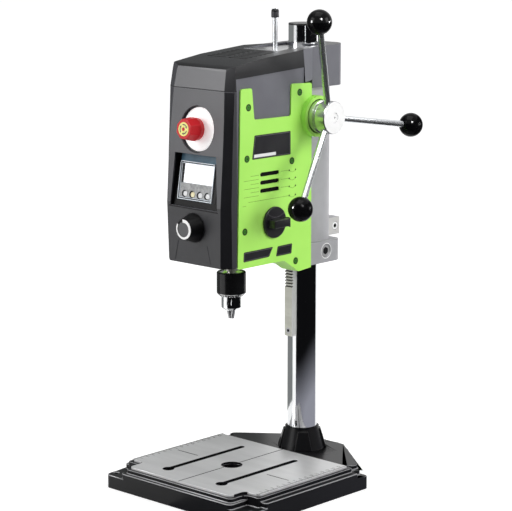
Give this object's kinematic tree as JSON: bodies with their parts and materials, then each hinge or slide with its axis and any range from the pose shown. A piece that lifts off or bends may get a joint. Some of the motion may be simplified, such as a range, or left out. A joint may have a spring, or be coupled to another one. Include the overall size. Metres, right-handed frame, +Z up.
{
  "type": "mini drill press",
  "caption": "Small bench drill press: slotted base plate, round column, geared head with a three-arm feed lever, chuck, depth stop, display and stop button.",
  "frame": {"origin": "on the column's axis at the underside of the base", "axes": "+Z up along the column, the spindle and the operator at -Y, the lever at +X"},
  "size_m": [0.242, 0.3332, 0.594],
  "materials": {
    "cast_black": "painted, semi-gloss",
    "ground_steel": "ground",
    "bright_steel": "polished",
    "rack_steel": "satin",
    "dark_steel": "blackened",
    "cast_grey": "cast, satin",
    "spring_steel": "blued",
    "bronze": "bearing bronze",
    "shell_grey": "satin",
    "shell_dark": "satin",
    "cover_green": "satin",
    "black_plastic": "satin",
    "gloss_black": "gloss",
    "white_plastic": "gloss",
    "stop_red": "gloss",
    "key_grey": "satin",
    "key_cream": "satin",
    "lens": "clear over a light panel",
    "board_green": "matt",
    "motor_steel": "painted"
  },
  "bodies": {
    "base": {"base_casting": "cast_black", "table_plate": "ground_steel", "plate_screws": "dark_steel", "column": "bright_steel", "column_cap": "black_plastic", "height_rack": "rack_steel", "rack_screws": "dark_steel"},
    "head": {"head_casting": "cast_grey", "guide_rods": "bright_steel", "feed_bushes": "bronze", "spring_drum": "dark_steel", "return_spring": "spring_steel", "front_shell": "shell_grey", "top_cover": "shell_dark", "right_cover": "cover_green", "left_cover": "cover_green", "bottom_plate": "shell_dark", "cover_screws": "dark_steel", "display_housing": "black_plastic", "display_window": "lens", "display_board": "board_green", "stop_plate": "white_plastic", "stop_contact_block": "black_plastic", "speed_dial_body": "black_plastic", "selector_switch": "black_plastic", "control_board": "board_green", "cable_gland": "black_plastic"},
    "carriage": {"carriage": "cast_grey", "guide_bushes": "bronze", "lower_bearing": "rack_steel", "upper_bearing": "rack_steel", "motor": "motor_steel", "feed_rack": "rack_steel", "depth_rod": "bright_steel"},
    "depth_stop": {"depth_stop": "black_plastic"},
    "spindle": {"spindle": "rack_steel", "spindle_gear": "rack_steel", "chuck_body": "bright_steel"},
    "motor_pinion": {"motor_pinion": "rack_steel"},
    "chuck_sleeve": {"chuck_sleeve": "dark_steel"},
    "jaw_1": {"chuck_jaw_1": "dark_steel"},
    "jaw_2": {"chuck_jaw_2": "dark_steel"},
    "jaw_3": {"chuck_jaw_3": "dark_steel"},
    "feed": {"feed_shaft": "rack_steel", "feed_hub": "bright_steel", "hub_screw": "dark_steel", "lever_rods": "bright_steel", "lever_balls": "gloss_black"},
    "elevation_pinion": {"elevation_pinion": "rack_steel"},
    "lock_screw": {"lock_screw": "dark_steel"},
    "clamp_screw": {"clamp_screw": "dark_steel"},
    "stop_stem": {"stop_stem": "black_plastic"},
    "stop_head": {"stop_head": "stop_red"},
    "speed_knob": {"speed_knob": "black_plastic"},
    "selector_knob": {"selector_knob": "black_plastic"},
    "key_1": {"key_1": "key_grey"},
    "key_2": {"key_2": "key_cream"},
    "key_3": {"key_3": "key_grey"},
    "key_4": {"key_4": "key_grey"}
  },
  "joints": [
    {"name": "head_height", "type": "slide", "parent": "base", "child": "head", "axis": [0, 0, 1], "range_m": [-0.038, 0.045]},
    {"name": "elevation_drive", "type": "hinge", "parent": "head", "child": "elevation_pinion", "pos_m": [0, -0.03475, 0.2865], "axis": [1, 0, 0], "range_deg": [-295, 249]},
    {"name": "spindle_feed", "type": "slide", "parent": "head", "child": "carriage", "axis": [0, 0, -1], "range_m": [0, 0.035], "stiffness_N_per_m": 300, "springref_m": -0.13},
    {"name": "feed_lever", "type": "hinge", "parent": "head", "child": "feed", "pos_m": [0, -0.0385, 0.461], "axis": [1, 0, 0], "range_deg": [0, 201]},
    {"name": "depth_setting", "type": "slide", "parent": "carriage", "child": "depth_stop", "axis": [0, 0, 1], "range_m": [-0.03, 0]},
    {"name": "spindle_turn", "type": "hinge", "parent": "carriage", "child": "spindle", "pos_m": [0, -0.13, 0.3], "axis": [0, 0, 1], "continuous": true},
    {"name": "motor_turn", "type": "hinge", "parent": "carriage", "child": "motor_pinion", "pos_m": [0, -0.0925, 0.38], "axis": [0, 0, 1], "continuous": true},
    {"name": "chuck_tighten", "type": "hinge", "parent": "spindle", "child": "chuck_sleeve", "pos_m": [0, -0.13, 0.26], "axis": [0, 0, 1], "range_deg": [0, 3672]},
    {"name": "jaw_1_slide", "type": "slide", "parent": "spindle", "child": "jaw_1", "axis": [0.2079, 0, 0.9781], "range_m": [0, 0.0205]},
    {"name": "jaw_2_slide", "type": "slide", "parent": "spindle", "child": "jaw_2", "axis": [-0.104, 0.1801, 0.9781], "range_m": [0, 0.0205]},
    {"name": "jaw_3_slide", "type": "slide", "parent": "spindle", "child": "jaw_3", "axis": [-0.104, -0.1801, 0.9781], "range_m": [0, 0.0205]},
    {"name": "lock_turn", "type": "hinge", "parent": "head", "child": "lock_screw", "pos_m": [0.03, 0, 0.2875], "axis": [1, 0, 0], "range_deg": [0, 180]},
    {"name": "clamp_turn", "type": "hinge", "parent": "head", "child": "clamp_screw", "pos_m": [0.01, 0.0437, 0.311], "axis": [1, 0, 0], "range_deg": [0, 180]},
    {"name": "stop_press", "type": "slide", "parent": "head", "child": "stop_stem", "axis": [0, 0.9959, -0.0906], "range_m": [0, 0.004], "stiffness_N_per_m": 800, "springref_m": -0.004},
    {"name": "stop_release", "type": "hinge", "parent": "stop_stem", "child": "stop_head", "pos_m": [0, -0.189, 0.454], "axis": [0, -0.9959, 0.0906], "range_deg": [-45, 0], "stiffness_Nm_per_rad": 0.02, "springref_deg": 17.19},
    {"name": "speed_turn", "type": "hinge", "parent": "head", "child": "speed_knob", "pos_m": [0, -0.2, 0.337], "axis": [0, -1, 0], "range_deg": [-135, 135]},
    {"name": "selector_turn", "type": "hinge", "parent": "head", "child": "selector_knob", "pos_m": [0.06, -0.1117, 0.3395], "axis": [1, 0, 0], "range_deg": [-45, 45]},
    {"name": "key_1_press", "type": "slide", "parent": "head", "child": "key_1", "axis": [0, 0.9877, -0.1564], "range_m": [0, 0.0008], "stiffness_N_per_m": 400, "springref_m": -0.0006},
    {"name": "key_2_press", "type": "slide", "parent": "head", "child": "key_2", "axis": [0, 0.9877, -0.1564], "range_m": [0, 0.0008], "stiffness_N_per_m": 400, "springref_m": -0.0006},
    {"name": "key_3_press", "type": "slide", "parent": "head", "child": "key_3", "axis": [0, 0.9877, -0.1564], "range_m": [0, 0.0008], "stiffness_N_per_m": 400, "springref_m": -0.0006},
    {"name": "key_4_press", "type": "slide", "parent": "head", "child": "key_4", "axis": [0, 0.9877, -0.1564], "range_m": [0, 0.0008], "stiffness_N_per_m": 400, "springref_m": -0.0006}
  ],
  "couplings": [
    {"joint": "elevation_drive", "follows": "head_height", "rad_per_m": -114.29},
    {"joint": "feed_lever", "follows": "spindle_feed", "rad_per_m": 100},
    {"joint": "motor_turn", "follows": "spindle_turn", "ratio": -3},
    {"joint": "jaw_1_slide", "follows": "chuck_tighten", "m_per_rad": 0.00031831},
    {"joint": "jaw_2_slide", "follows": "chuck_tighten", "m_per_rad": 0.00031831},
    {"joint": "jaw_3_slide", "follows": "chuck_tighten", "m_per_rad": 0.00031831}
  ]
}
